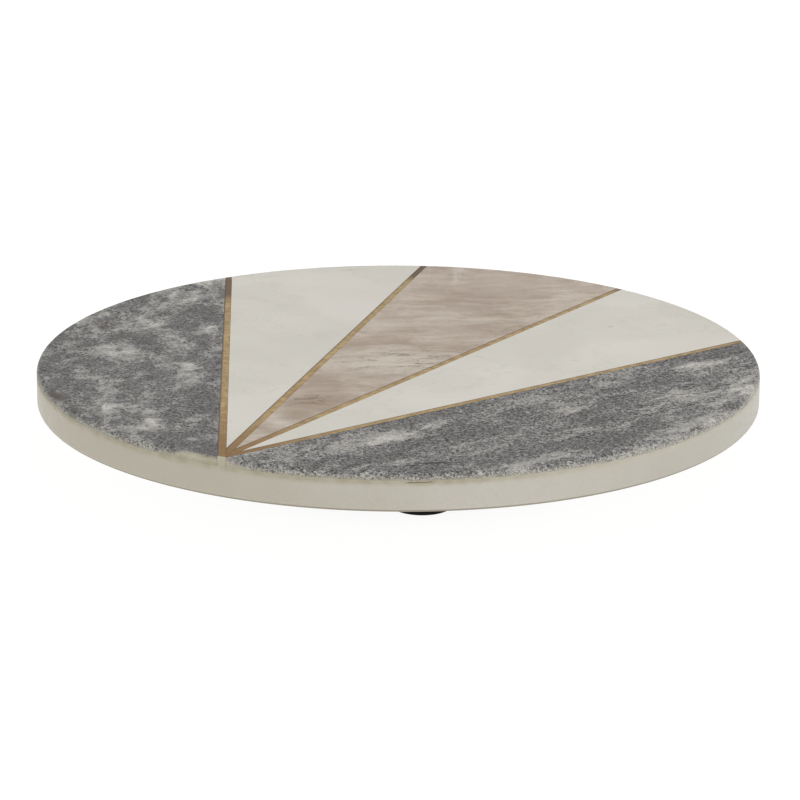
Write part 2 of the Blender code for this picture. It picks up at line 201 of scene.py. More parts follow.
# Screws and bushes: holes, threads, heads with a tapering cross recess, and each head's turn
WOOD_SCREW_HOLE = 2.05 * MM
MACHINE_SCREW_HOLE = 2.3 * MM
HEAD_RADIUS = 3.6 * MM
HEAD_HEIGHT = 1.8 * MM
CROWN_RADIUS = 0.6 * HEAD_HEIGHT
HEAD_FLAT_RADIUS = 0.35 * HEAD_RADIUS
TIP_SHARE = 0.35
WOOD_SHANK, WOOD_PITCH = 1.75 * MM, 1.3 * MM
MACHINE_SHANK, MACHINE_PITCH = 2.0 * MM, 0.7 * MM
THREAD_DEPTH = 0.45 * MM
THREAD_RUN_OUT = 0.2 * MM
ROWS_PER_TURN = 6
CROSS_WIDTH = 0.84 * MM
CROSS_MOUTH_REACH = 0.52 * HEAD_RADIUS
CROSS_FLOOR_REACH = 0.24 * HEAD_RADIUS
CROSS_FLOOR = -0.28 * HEAD_HEIGHT
DRIVE_TURNS = (12, 71, 38, 55)
KNURL_SHARE = 0.03
KNURL_REACH = 0.1 * MM
BUSH_EDGE = 0.3 * MM
WASHER_EDGE = 0.2 * MM
CAGE_EDGE = 0.35 * MM


# Mesh helpers -----


def polar(radius, azimuth, height=0.0):
    angle = math.radians(azimuth)
    return Vector((radius * math.cos(angle), radius * math.sin(angle), height))


def arc(centre_radius, centre_height, radius, start, end, steps):
    """Points of a round stretch of an outline, from angle start to angle end."""
    turns = [math.radians(start + (end - start) * i / steps) for i in range(steps + 1)]
    return [(centre_radius + radius * math.cos(t), centre_height + radius * math.sin(t)) for t in turns]


def ring_outline(inner, outer, low, high):
    """Half section of a plain ring."""
    return [(inner, low), (outer, low), (outer, high), (inner, high)]


def add_turned(builder, outline, facets, centre=(0, 0, 0), wobble=None):
    """Turns a closed outline of (radius, height) pairs; wobble moves each point of the surface a little."""
    rings = []
    for radius, height in outline:
        if abs(radius) < 1e-9:
            pole = builder.verts.new(Vector(centre) + Vector((0, 0, height)))
            rings.append([pole] * facets)
            continue
        ring = []
        for i in range(facets):
            point = polar(radius, i * 360 / facets, height)
            if wobble:
                point = wobble(point)
            ring.append(builder.verts.new(Vector(centre) + point))
        rings.append(ring)
    for ring, following in zip(rings, rings[1:] + rings[:1]):
        for i in range(facets):
            j = (i + 1) % facets
            corners = list(dict.fromkeys((ring[i], ring[j], following[j], following[i])))
            if len(corners) > 2:
                builder.faces.new(corners)


def mesh_of(builder, name):
    bmesh.ops.recalc_face_normals(builder, faces=builder.faces)
    mesh = bpy.data.meshes.new(name)
    builder.to_mesh(mesh)
    builder.free()
    return mesh


def turned(name, outline, facets, centre=(0, 0, 0), wobble=None):
    builder = bmesh.new()
    add_turned(builder, outline, facets, centre, wobble)
    return mesh_of(builder, name)


def between(name, first, second):
    """A closed body between two flat outlines with as many points each."""
    builder = bmesh.new()
    near = [builder.verts.new(point) for point in first]
    far = [builder.verts.new(point) for point in second]
    builder.faces.new(near)
    builder.faces.new(far)
    for i in range(len(near)):
        j = (i + 1) % len(near)
        builder.faces.new((near[i], near[j], far[j], far[i]))
    return mesh_of(builder, name)


def shown(name, data):
    """A new object in the scene."""
    made = bpy.data.objects.new(name, data)
    bpy.context.scene.collection.objects.link(made)
    return made


def cut(mesh, *cutters, operation="DIFFERENCE"):
    """The mesh without each of the cutter meshes, or only what it shares with them."""
    obj = shown("blank", mesh)
    helpers = []
    for cutter_mesh in cutters:
        cutter = shown("cutter", cutter_mesh)
        boolean = obj.modifiers.new("cut", "BOOLEAN")
        boolean.operation = operation
        boolean.solver = "EXACT"
        boolean.object = cutter
        helpers.append(cutter)
    bpy.context.view_layer.update()
    graph = bpy.context.evaluated_depsgraph_get()
    made = bpy.data.meshes.new_from_object(obj.evaluated_get(graph))
    for helper in [obj, *helpers]:
        old = helper.data
        bpy.data.objects.remove(helper)
        bpy.data.meshes.remove(old)
    return made


def stand_for(node, mesh, material):
    """Shows a fine mesh in place of a CAD node, riding on that node's body."""
    mesh.materials.clear()
    mesh.materials.append(material)
    mesh.shade_smooth()
    mesh.set_sharp_from_angle(angle=math.radians(SHARP_ANGLE))
    piece = shown("fine_" + node, mesh)
    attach(piece, body_of(node))
    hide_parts(node)
    return piece


# Shader graphs -----


def linear(channel):
    """The linear value of a 0-255 display value."""
    share = channel / 255
    return share / 12.92 if share <= 0.04045 else ((share + 0.055) / 1.055) ** 2.4


def tone(red, green, blue, gain=1.0):
    """A surface colour, given as the 0-255 display values that it has in this light."""
    return tuple(linear(c) / gain for c in (red, green, blue)) + (1.0,)


def metal(red, green, blue):
    """The same for a metal, which shows the dimmer sky beyond it."""
    return tone(red, green, blue, METAL_GAIN)


class Graph:
    """A material's node tree, with one short method for each kind of node that the materials use."""

    def __init__(self, name, roughness=0.5, metallic=0.0, specular=0.5):
        self.material = bpy.data.materials.new(name)
        self.material.use_nodes = True
        self.nodes = self.material.node_tree.nodes
        self.shader = self.nodes["Principled BSDF"]
        self.shader.inputs["Roughness"].default_value = roughness
        self.shader.inputs["Metallic"].default_value = metallic
        self.shader.inputs["Specular IOR Level"].default_value = specular

    def node(self, kind, inputs, **settings):
        made = self.nodes.new(kind)
        for key, value in settings.items():
            setattr(made, key, value)
        for key, value in inputs.items():
            self.feed(made.inputs[key], value)
        return made

    def feed(self, socket, value):
        if isinstance(value, bpy.types.NodeSocket):
            self.material.node_tree.links.new(value, socket)
        else:
            socket.default_value = value

    def surface(self, name, value):
        self.feed(self.shader.inputs[name], value)

    def place(self):
        return self.node("ShaderNodeTexCoord", {}).outputs["Object"]

    def laid(self, vector, turn=0.0, stretch=(1, 1, 1), centre=(0, 0, 0)):
        """The place in a turned grain of its own, with each axis counted in its stretch."""
        grain = {"Location": centre, "Rotation": (0, 0, math.radians(turn)), "Scale": stretch}
        made = self.node("ShaderNodeMapping", {"Vector": vector, **grain}, vector_type="TEXTURE")
        return made.outputs["Vector"]

    def noise(self, vector, size, detail=4.0, roughness=0.55, colour=False):
        """Cloud noise whose largest features are about size metres."""
        inputs = {"Vector": vector, "Scale": 1 / size, "Detail": detail, "Roughness": roughness}
        return self.node("ShaderNodeTexNoise", inputs).outputs["Color" if colour else "Fac"]

    def crystals(self, vector, size, channel="X"):
        """One random value for each crystal of about size metres."""
        made = self.node("ShaderNodeTexVoronoi", {"Vector": vector, "Scale": 1 / size})
        return self.axis(made.outputs["Color"], channel)

    def math(self, operation, *values):
        return self.node("ShaderNodeMath", dict(enumerate(values)), operation=operation).outputs[0]

    def chain(self, operation, first, *others):
        """All the values put together, two at a time."""
        for other in others:
            first = self.math(operation, first, other)
        return first

    def plus(self, *values):
        return self.chain("ADD", *values)

    def minus(self, first, second):
        return self.math("SUBTRACT", first, second)

    def times(self, *values):
        return self.chain("MULTIPLY", *values)

    def vector(self, operation, *values):
        made = self.node("ShaderNodeVectorMath", dict(enumerate(values)), operation=operation)
        return made.outputs["Value" if operation in ("LENGTH", "DISTANCE", "DOT_PRODUCT") else "Vector"]

    def ramp(self, value, low, high, start=0.0, end=1.0):
        """A smooth step of value from start at low to end at high."""
        inputs = {"Value": value, "From Min": low, "From Max": high, "To Min": start, "To Max": end}
        made = self.node("ShaderNodeMapRange", inputs, interpolation_type="SMOOTHSTEP")
        return made.outputs["Result"]

    def blend(self, share, first, second, kind="MIX"):
        """The first colour where share is 0, and the second, or both multiplied, where it is 1."""
        made = self.node("ShaderNodeMix", {}, data_type="RGBA", blend_type=kind, clamp_result=False)
        colours = {socket.name: socket for socket in made.inputs if socket.enabled}
        self.feed(made.inputs[0], share)
        self.feed(colours["A"], first)
        self.feed(colours["B"], second)
        return next(socket for socket in made.outputs if socket.enabled)

    def shaded(self, colour, value, base, least=0.0):
        """The colour times value plus base, a factor that is never below least."""
        level = self.math("MAXIMUM", self.plus(value, base), least)
        grey = self.node("ShaderNodeCombineXYZ", {0: level, 1: level, 2: level}).outputs[0]
        return self.blend(1.0, colour, grey, "MULTIPLY")

    def ladder(self, value, rungs):
        """A colour that goes smoothly through rungs of (value, colour)."""
        made = self.node("ShaderNodeValToRGB", {"Fac": value})
        steps = made.color_ramp.elements
        made.color_ramp.interpolation = "EASE"
        steps[0].position, steps[0].color = rungs[0]
        steps[1].position, steps[1].color = rungs[-1]
        for position, colour in rungs[1:-1]:
            steps.new(position).color = colour
        return made.outputs["Color"]

    def axis(self, vector, name):
        return self.node("ShaderNodeSeparateXYZ", {0: vector}).outputs[name]

    def warp(self, vector, size, amount, detail=3.0):
        """The place moved about by noise, which makes edges ragged."""
        shift = self.vector("SUBTRACT", self.noise(vector, size, detail, colour=True), (0.5, 0.5, 0.5))
        scaled = self.vector("MULTIPLY", shift, (2 * amount, 2 * amount, 2 * amount))
        return self.vector("ADD", vector, scaled)

    def patch(self, vector, x, y, half_length, half_width, turn):
        """1 in the middle of an oval on the top, falling to 0 at its edge; sizes in millimetres."""
        size = (half_length * MM, half_width * MM, 1.0)
        inside = self.laid(vector, turn, size, (x * MM, y * MM, 0))
        return self.ramp(self.vector("LENGTH", inside), 1.0, 0.15)

    def patches(self, vector, ovals):
        """The strongest of several ovals."""
        return self.chain("MAXIMUM", *[self.patch(vector, *oval) for oval in ovals])

    def relief(self, height, depth):
        bump = self.node("ShaderNodeBump", {"Height": height, "Strength": 1.0, "Distance": depth})
        self.surface("Normal", bump.outputs["Normal"])

    def finished(self, colour, roughness, height, depth):
        """The material, with its colour, roughness and relief."""
        self.surface("Base Color", colour)
        self.surface("Roughness", roughness)
        self.relief(height, depth)
        return self.material


# Stone -----

APEX = polar(TOP_RADIUS - APEX_RIM_MARGIN, APEX_AZIMUTH, TOP_FACE)
CRACK_X = 8.5 * MM
CRACK_HEIGHT = SLAB_TOP + 0.6 * MM


def radius_of(g, place):
    """Distance from the turntable's axis."""
    return g.vector("LENGTH", g.vector("MULTIPLY", place, (1, 1, 0)))


def rim_mask(g, place):
    """How far over the shoulder a point is: 0 on the flat top, 1 at the foot of the shoulder."""
    return g.ramp(g.axis(place, "Z"), TOP_FACE - 0.1 * MM, TOP_FACE - 0.8 * SHOULDER_RADIUS)


def resin_mask(g, place):
    """Adhesive smeared over the foot of the tiles' edge, and higher up where the strips meet."""
    ragged = g.noise(place, 5 * MM, 5, 0.65)
    fine = g.noise(place, 1.1 * MM, 3, 0.75)
    waver = g.plus(g.times(ragged, 2.4 * MM), g.times(fine, 0.9 * MM))
    middle = tuple(APEX + Vector((-9, -2, 0)) * MM)
    near = g.ramp(g.vector("DISTANCE", place, middle), 24 * MM, 8 * MM)
    line = g.plus(TOP_FACE - 4.2 * MM, g.times(near, 2.3 * MM))
    depth = g.minus(g.plus(line, waver), g.axis(place, "Z"))
    low = g.ramp(depth, -1.1 * MM, 0.9 * MM)
    outside = g.ramp(radius_of(g, place), TOP_RADIUS - 3.4 * MM, TOP_RADIUS - 2.2 * MM)
    return g.times(low, outside)


def resin_colour(g, place):
    """Beige adhesive, mottled, with painted light making it paler towards the right, and one short brown
    crack at the front.
    """
    mottle = g.noise(place, 6 * MM, 4, 0.6)
    colour = g.blend(g.ramp(mottle, 0.35, 0.68), tone(177, 169, 146), tone(192, 185, 165))
    # Painted light: paler towards the right, where the rim is lit more
    paler_painted_light = g.times(g.ramp(g.axis(place, "X"), 15 * MM, 90 * MM), 0.6)
    colour = g.blend(paler_painted_light, colour, tone(205, 201, 187))
    waver = g.times(g.minus(g.noise(place, 3 * MM, 4, 0.7), 0.5), 1.2 * MM)
    off_line = g.math("ABSOLUTE", g.minus(g.plus(g.axis(place, "Z"), waver), CRACK_HEIGHT))
    line = g.ramp(off_line, 0.30 * MM, 0.08 * MM)
    nearby = g.ramp(g.vector("DISTANCE", place, (CRACK_X, -TOP_RADIUS, CRACK_HEIGHT)), 6.5 * MM, 4.0 * MM)
    return g.blend(g.times(line, nearby, 0.8), colour, tone(104, 84, 62))


def under_resin(g, place, colour):
    """A tile's colour with the smeared adhesive over it."""
    return g.blend(resin_mask(g, place), colour, resin_colour(g, place))


# Where the strips' far ends begin to tarnish, measured from the apex, and how strongly
FAR_TARNISH = ((232 * MM, 0.9), (276 * MM, 0.95), (298 * MM, 0.7), (272 * MM, 0.5))

# Marks on the top, each an oval: its place, half length and half width in millimetres, and its turn
LEFT_STAINS = ((-141, -52, 12, 3.5, 112), (-128, 46, 8, 2.5, 110))
LEFT_CLOUDS = (
    (-102, 90, 28, 16, 66),
    (-90, 110, 26, 18, 80),
    (-112, 56, 24, 13, 90),
    (-144, 38, 13, 9, 60),
    (-84, 46, 20, 8, 97),
    (-127, 16, 15, 8, 28),
    (-114, 12, 15, 9, 75),
    (-110, -18, 20, 8, 95),
    (-83, -22, 12, 7, 15),
    (-96, -41, 18, 7, 75),
    (-99, -74, 26, 8, 95),
    (-150, 10, 12, 6, 90),
    (-79, -81, 12, 7, 60),
    (-116, -70, 12, 6, 80),
)
FRONT_CLOUDS = (
    (34, -85, 15, 8, 30),
    (13, -87, 13, 8, 20),
    (92, -16, 22, 12, 40),
    (130, -56, 16, 7, 32),
    (143, -38, 14, 9, 60),
    (110, -81, 12, 8, 55),
    (87, -32, 12, 8, 40),
    (68, -69, 13, 6, 35),
    (127, -3, 16, 9, 35),
    (52, -58, 18, 8, 35),
    (-5, -107, 17, 10, 45),
    (133, -70, 15, 7, 45),
    (112, -45, 18, 7, 38),
)
FRONT_CRACKS = ((14, -138.5, 12, 1.7, 5), (6, -141.5, 5, 1.0, -8), (60, -100, 4, 0.9, 30))
WHITE_SPECKS = (
    (-43, 36, 1.6, 1.2, 30),
    (-66, 58, 1.8, 0.8, 110),
    (-22, 142, 9, 1.0, 20),
    (75, 2, 2.6, 1.4, 10),
    (92, 53, 2.4, 1.6, 70),
)
ROSE_CREAM = ((-2, -4, 34, 26, 10), (-44, -92, 12, 12, 0), (-52, -108, 10, 14, 60))
ROSE_PINK = ((40, 110, 60, 40, 60), (26, 48, 26, 18, 0), (-30, -38, 22, 10, 20))
ROSE_BROWN = ((-34, -58, 26, 20, 40), (-40, -76, 12, 14, 0))
ROSE_LINED = ((2, 0, 40, 24, 15), (-36, -56, 18, 12, 30))
ROSE_CRACK = (-36, -61, 14, 0.55, -9)


def grain_of(g, place):
    """Salt-and-pepper crystals: (shade 0 to 1, with dark and pale grains mixed, height for the bump)."""
    coarse = g.crystals(place, 0.85 * MM, "Y")
    fine = g.crystals(place, 0.48 * MM)
    drift = g.ramp(g.noise(place, 1.7 * MM, 3, 0.8), 0.34, 0.66)
    return g.plus(g.times(coarse, 0.34), g.times(fine, 0.42), g.times(drift, 0.24)), fine


def grey_marble(name, grain_turn, clouds, stretch, sparkle, stains=(), cracks=()):
    """Mid grey marble: salt-and-pepper crystals, darker bands along the grain and ragged pale clouds."""
    g = Graph(name, specular=0.3)
    place = g.place()
    broken = g.warp(g.warp(place, 24 * MM, 6 * MM, 4), 7 * MM, 3.2 * MM, 4)
    along = g.laid(broken, grain_turn, (stretch, 1, 1))
    bands = g.noise(along, 24 * MM, 3, 0.5)
    wisps = g.noise(along, 16 * MM, 6, 0.6)
    ragged = g.noise(along, 4 * MM, 4, 0.6)
    shade, crystal = grain_of(g, place)

    depth = g.plus(
        g.times(wisps, 0.62),
        g.times(bands, 0.18),
        g.times(ragged, 0.20),
        g.times(g.patches(broken, clouds), 0.075),
        g.times(shade, 0.02),
    )
    rungs = (
        (0.43, tone(101, 99, 97)),
        (0.485, tone(111, 109, 107)),
        (0.52, tone(120, 118, 116)),
        (0.555, tone(138, 136, 132)),
        (0.60, tone(158, 155, 150)),
        (0.67, tone(186, 183, 177)),
    )
    colour = g.ladder(depth, rungs)
    strength = g.ramp(depth, 0.52, 0.61, sparkle, 0.35 * sparkle)
    colour = g.shaded(colour, g.times(g.minus(shade, 0.5), strength), 1.0, 0.05)

    for stain in stains:
        share = g.times(g.patch(broken, *stain), 0.75)
        colour = g.blend(share, colour, tone(86, 74, 64))
    for crack in cracks:
        share = g.times(g.patch(g.warp(place, 9 * MM, 1.6 * MM, 4), *crack), 0.95)
        colour = g.blend(share, colour, tone(46, 45, 44))

    worn = rim_mask(g, place)
    dust = g.noise(place, 0.9 * MM, 3, 0.75)
    frost = g.ramp(g.plus(g.times(crystal, 0.35), g.times(dust, 0.65)), 0.32, 0.66)
    frosted = g.blend(frost, tone(112, 110, 105), tone(204, 200, 190))
    colour = g.blend(g.times(worn, 0.8), colour, frosted)
    colour = under_resin(g, place, colour)
    roughness = g.ramp(shade, 0.3, 0.7, 0.48, 0.68)
    relief = g.plus(crystal, g.times(frost, worn, 5.0))
    return g.finished(colour, roughness, relief, 0.012 * MM)


def white_marble(name, specks=()):
    """White marble, warm, with faint clouds, hair veins and a few grey specks."""
    g = Graph(name, specular=0.4)
    place = g.place()
    soft = g.warp(place, 40 * MM, 14 * MM, 3)
    clouds = g.noise(soft, 48 * MM, 5, 0.55)
    colour = g.blend(g.ramp(clouds, 0.34, 0.68), tone(208, 204, 193), tone(217, 213, 204))
    pinkish = g.ramp(g.noise(soft, 70 * MM, 2, 0.5), 0.5, 0.72, 0.0, 0.5)
    colour = g.blend(pinkish, colour, tone(214, 208, 199))
    vein = g.math("ABSOLUTE", g.minus(g.noise(soft, 60 * MM, 7, 0.62), 0.5))
    colour = g.blend(g.ramp(vein, 0.012, 0.0, 0.0, 0.28), colour, tone(188, 184, 174))
    broken = g.warp(place, 5 * MM, 1.5 * MM, 3)
    for speck in specks:
        share = g.times(g.patch(broken, *speck), 0.30)
        colour = g.blend(share, colour, tone(150, 148, 142))
    crystal = g.crystals(place, 0.6 * MM)
    colour = g.shaded(colour, g.times(crystal, 0.03), 0.985)
    colour = under_resin(g, place, colour)
    roughness = g.ramp(g.noise(place, 3 * MM, 4, 0.6), 0.3, 0.7, 0.30, 0.46)
    return g.finished(colour, roughness, crystal, 0.004 * MM)


def rose_marble(name):
    """Pinkish beige marble with streaks across the fan, a cream band and thin brown lines."""
    g = Graph(name, specular=0.4)
    place = g.place()
    soft = g.warp(place, 30 * MM, 7 * MM, 4)
    streaks = g.laid(soft, 4, (4.0, 1, 1))
    across = g.noise(streaks, 12 * MM, 7, 0.66)
    blotch = g.noise(soft, 32 * MM, 5, 0.6)
    colour = g.blend(g.ramp(blotch, 0.34, 0.66), tone(164, 147, 131), tone(196, 183, 169))
    colour = g.blend(g.ramp(across, 0.44, 0.64, 0.0, 0.72), colour, tone(200, 188, 174))
    mottle = g.noise(g.laid(soft, 5, (2.4, 1, 1)), 5 * MM, 6, 0.75)
    colour = g.blend(g.ramp(mottle, 0.53, 0.68, 0.0, 0.55), colour, tone(156, 137, 120))
    colour = g.blend(g.ramp(mottle, 0.47, 0.34, 0.0, 0.45), colour, tone(208, 198, 184))

    cream = g.times(g.patches(soft, ROSE_CREAM), g.ramp(across, 0.3, 0.55, 0.35, 1.0), 0.75)
    colour = g.blend(cream, colour, tone(206, 197, 184))
    colour = g.blend(g.times(g.patches(soft, ROSE_PINK), 0.42), colour, tone(165, 147, 132))
    colour = g.blend(g.times(g.patches(soft, ROSE_BROWN), 0.75), colour, tone(152, 132, 113))
    hair = g.ramp(g.noise(g.laid(soft, 5, (8.0, 1, 1)), 3.2 * MM, 5, 0.7), 0.46, 0.60)
    colour = g.blend(g.times(hair, 0.28), colour, tone(148, 128, 112))

    upright = g.laid(g.warp(place, 18 * MM, 3 * MM, 3), 88, (7.0, 1, 1))
    light_lines = g.ramp(g.noise(upright, 9 * MM, 4, 0.6), 0.60, 0.72)
    far_end = g.ramp(g.axis(place, "Y"), 70 * MM, 105 * MM)
    colour = g.blend(g.times(light_lines, far_end, 0.5), colour, tone(206, 196, 187))
    ripple = g.laid(g.warp(place, 12 * MM, 4 * MM, 3), 6, (5.0, 1, 1))
    off_line = g.math("ABSOLUTE", g.minus(g.noise(ripple, 10 * MM, 5, 0.6), 0.47))
    brown_line = g.times(g.ramp(off_line, 0.020, 0.003), g.patches(soft, ROSE_LINED), 0.75)
    colour = g.blend(brown_line, colour, tone(112, 90, 74))
    crack = g.patch(g.warp(place, 8 * MM, 2.2 * MM, 4), *ROSE_CRACK)
    colour = g.blend(g.times(crack, 0.75), colour, tone(98, 76, 62))

    crystal = g.crystals(place, 0.7 * MM)
    dust = g.noise(place, 1.6 * MM, 3, 0.65)
    colour = g.shaded(colour, g.plus(g.times(crystal, 0.06), g.times(dust, 0.22)), 0.86)
    colour = under_resin(g, place, colour)
    roughness = g.ramp(dust, 0.3, 0.7, 0.36, 0.52)
    return g.finished(colour, roughness, crystal, 0.006 * MM)


def slab_marble(name):
    """The carrier's white marble, sawn and honed: warm, with broad soft painted shade along the edge,
    darker towards the left and along the lower rounded edge.
    """
    g = Graph(name, specular=0.4)
    place = g.place()
    soft = g.warp(place, 35 * MM, 8 * MM, 3)
    broad = g.noise(soft, 55 * MM, 4, 0.55)
    colour = g.blend(g.ramp(broad, 0.3, 0.7), tone(196, 190, 175), tone(204, 200, 188))
    pinkish = g.ramp(g.noise(soft, 38 * MM, 3, 0.5), 0.52, 0.7, 0.0, 0.6)
    colour = g.blend(pinkish, colour, tone(207, 199, 188))
    crystal = g.crystals(place, 0.7 * MM)
    colour = g.shaded(colour, g.times(crystal, 0.05), 0.975)

    # Painted shade, with a little of the stone's own yellower tone: darker towards the left, away from the
    # light on the right
    sallow_and_shade = g.ramp(g.axis(soft, "X"), 40 * MM, -150 * MM)
    colour = g.blend(g.times(sallow_and_shade, 0.75), colour, tone(190, 183, 163))
    right_side = g.ramp(g.axis(soft, "X"), 60 * MM, 135 * MM, 0.0, 0.8)
    colour = g.blend(right_side, colour, tone(190, 186, 174))
    # Painted shade: a dark brownish band along the lower rounded edge, where the underside turns away from
    # the light
    low_edge_shade = g.ramp(g.axis(place, "Z"), SLAB_BOTTOM + 1.5 * MM, SLAB_BOTTOM + 0.85 * MM)
    rounded = g.ramp(radius_of(g, place), TOP_RADIUS - 2.2 * MM, TOP_RADIUS - 1.2 * MM)
    colour = g.blend(g.times(low_edge_shade, rounded, 0.85), colour, tone(132, 123, 102))

    ragged = g.noise(place, 4 * MM, 4, 0.65)
    edge = g.plus(g.axis(place, "Z"), g.times(ragged, 2.2 * MM))
    smear = g.ramp(edge, SLAB_TOP - 0.6 * MM, SLAB_TOP + 1.2 * MM, 0.0, 0.7)
    outside = g.ramp(radius_of(g, place), TOP_RADIUS - 1.2 * MM, TOP_RADIUS - 0.3 * MM)
    colour = g.blend(g.times(smear, outside), colour, resin_colour(g, place))
    roughness = g.ramp(g.noise(place, 2.5 * MM, 4, 0.6), 0.3, 0.7, 0.36, 0.52)

    saw = g.laid(place, 28, (60, 1, 1))
    underside = g.ramp(g.axis(place, "Z"), SLAB_BOTTOM + 0.6 * MM, SLAB_BOTTOM + 0.1 * MM)
    marks = g.times(g.noise(saw, 1.8 * MM, 3, 0.6), underside)
    return g.finished(colour, roughness, g.plus(marks, g.times(crystal, 0.3)), 0.02 * MM)


def resin(name):
    """The adhesive line: beige, ragged, with grey stone dust along its upper edge."""
    g = Graph(name, roughness=0.6, specular=0.3)
    place = g.place()
    colour = resin_colour(g, place)
    rise = g.plus(g.axis(place, "Z"), g.times(g.noise(place, 3 * MM, 4, 0.7), 1.3 * MM))
    dusty = g.ramp(rise, TILE_BOTTOM + 0.3 * MM, TILE_BOTTOM + 0.9 * MM, 0.0, 0.5)
    colour = g.blend(dusty, colour, tone(150, 148, 140))
    g.surface("Base Color", colour)
    g.relief(g.noise(place, 1.0 * MM, 3, 0.7), 0.05 * MM)
    return g.material


# Metal -----


def brass_strip(name, direction, far_tarnish):
    """Honed brass bar: scratched along its length, mottled with brown, orange where the strips meet."""
    g = Graph(name)
    place = g.place()
    lengthwise = g.laid(place, direction, (40, 1, 1))
    scratch = g.noise(lengthwise, 0.5 * MM, 4, 0.7)
    mottle = g.noise(place, 4 * MM, 5, 0.7)
    spots = g.noise(place, 1.4 * MM, 3, 0.6)
    colour = g.blend(g.ramp(mottle, 0.36, 0.66), metal(158, 133, 92), metal(190, 166, 120))
    colour = g.blend(g.ramp(spots, 0.60, 0.74, 0.0, 0.55), colour, metal(140, 104, 74))
    reach = g.vector("DISTANCE", place, tuple(APEX))
    warm = g.ramp(reach, 70 * MM, 8 * MM, 0.0, 0.85)
    colour = g.blend(warm, colour, metal(138, 104, 62))

    start, share = far_tarnish
    waver = g.plus(reach, g.times(mottle, 24 * MM))
    dull = g.ramp(waver, start, start + 13 * MM, 0.0, share)
    colour = g.blend(dull, colour, metal(100, 86, 80))
    colour = g.blend(g.ramp(scratch, 0.35, 0.7, 0.0, 0.25), colour, metal(120, 96, 66))

    # A dark line along the left edge, where the strip's width follows its taper
    to_left = polar(1, direction + 90)
    off_axis = g.minus(g.vector("DOT_PRODUCT", place, tuple(to_left)), APEX.dot(to_left))
    taper = (STRIP_WIDTH_AT_FAR_RIM - STRIP_WIDTH_AT_APEX) / 2 / (2 * TOP_RADIUS)
    half_width = g.plus(g.times(reach, taper), STRIP_WIDTH_AT_APEX / 2)
    inset = g.minus(half_width, g.plus(off_axis, g.times(spots, 0.3 * MM)))
    colour = g.blend(g.ramp(inset, 0.55 * MM, 0.15 * MM, 0.0, 0.7), colour, metal(104, 84, 62))

    # Adhesive over the tips, where the strips meet at the rim
    smear = resin_mask(g, place)
    tips = g.plus(radius_of(g, place), g.times(spots, 1.2 * MM))
    covered = g.ramp(tips, TOP_RADIUS - 3.5 * MM, TOP_RADIUS - 3.0 * MM)
    covered = g.times(covered, g.ramp(reach, 26 * MM, 20 * MM))
    hidden = g.math("MAXIMUM", smear, covered)
    colour = g.blend(hidden, colour, resin_colour(g, place))
    g.surface("Metallic", g.minus(1.0, hidden))
    roughness = g.ramp(g.plus(scratch, g.times(dull, 0.4)), 0.3, 0.9, 0.34, 0.6)
    return g.finished(colour, roughness, scratch, 0.010 * MM)


def plated_steel(name, warm=0.0, pressed=True):
    """Zinc-plated steel: bluish grey with a faint yellow bloom, and fine rings where it was pressed."""
    g = Graph(name, metallic=1.0)
    place = g.place()
    bloom = g.noise(place, 9 * MM, 4, 0.6)
    colour = g.blend(g.ramp(bloom, 0.35, 0.7), metal(176, 180, 184), metal(198, 196 - warm, 184 - warm))
    haze = g.noise(place, 1.2 * MM, 3, 0.7)
    colour = g.blend(g.ramp(haze, 0.55, 0.8, 0.0, 0.35), colour, metal(150, 152, 154))
    roughness = g.ramp(g.plus(bloom, haze), 0.8, 1.25, 0.28, 0.46)
    height = haze
    if pressed:
        rings = g.times(radius_of(g, place), 2 * math.pi / (0.5 * MM))
        height = g.plus(haze, g.times(g.math("SINE", rings), 0.35))
    return g.finished(colour, roughness, height, 0.006 * MM)


def machined_brass(name):
    """Turned brass, lightly stained."""
    g = Graph(name, metallic=1.0)
    place = g.place()
    colour = g.blend(g.noise(place, 2 * MM, 4, 0.6), metal(178, 150, 96), metal(212, 186, 128))
    g.surface("Base Color", colour)
    g.surface("Roughness", g.ramp(g.noise(place, 0.8 * MM, 3, 0.6), 0.3, 0.7, 0.22, 0.4))
    return g.material


# Plastic, lacquer and rubber -----


def nylon(name):
    """Natural nylon, yellowed where grease has got to it."""
    g = Graph(name, specular=0.4)
    place = g.place()
    colour = g.blend(g.noise(place, 8 * MM, 4, 0.6), tone(196, 192, 180), tone(216, 212, 202))
    greasy = g.ramp(g.noise(place, 3 * MM, 4, 0.6), 0.55, 0.75, 0.0, 0.4)
    colour = g.blend(greasy, colour, tone(160, 146, 112))
    roughness = g.ramp(greasy, 0.0, 0.4, 0.52, 0.25)
    return g.finished(colour, roughness, g.noise(place, 0.5 * MM, 2, 0.6), 0.008 * MM)


def lacquer(name):
    """Black satin lacquer over fibreboard: faint orange peel, fibres telegraphing through, fine dust."""
    g = Graph(name, specular=0.45)
    place = g.place()
    cloud = g.noise(place, 30 * MM, 4, 0.6)
    colour = g.blend(cloud, tone(20, 20, 20), tone(33, 32, 31))
    dust = g.ramp(g.noise(place, 0.8 * MM, 4, 0.8), 0.66, 0.8, 0.0, 0.25)
    colour = g.blend(dust, colour, tone(110, 106, 100))
    peel = g.noise(place, 1.6 * MM, 2, 0.5)
    fibre = g.noise(g.laid(place, 35, (6, 1, 1)), 0.9 * MM, 3, 0.6)
    roughness = g.ramp(g.plus(peel, fibre), 0.7, 1.3, 0.32, 0.5)
    return g.finished(colour, roughness, g.plus(peel, g.times(fibre, 0.4)), 0.03 * MM)


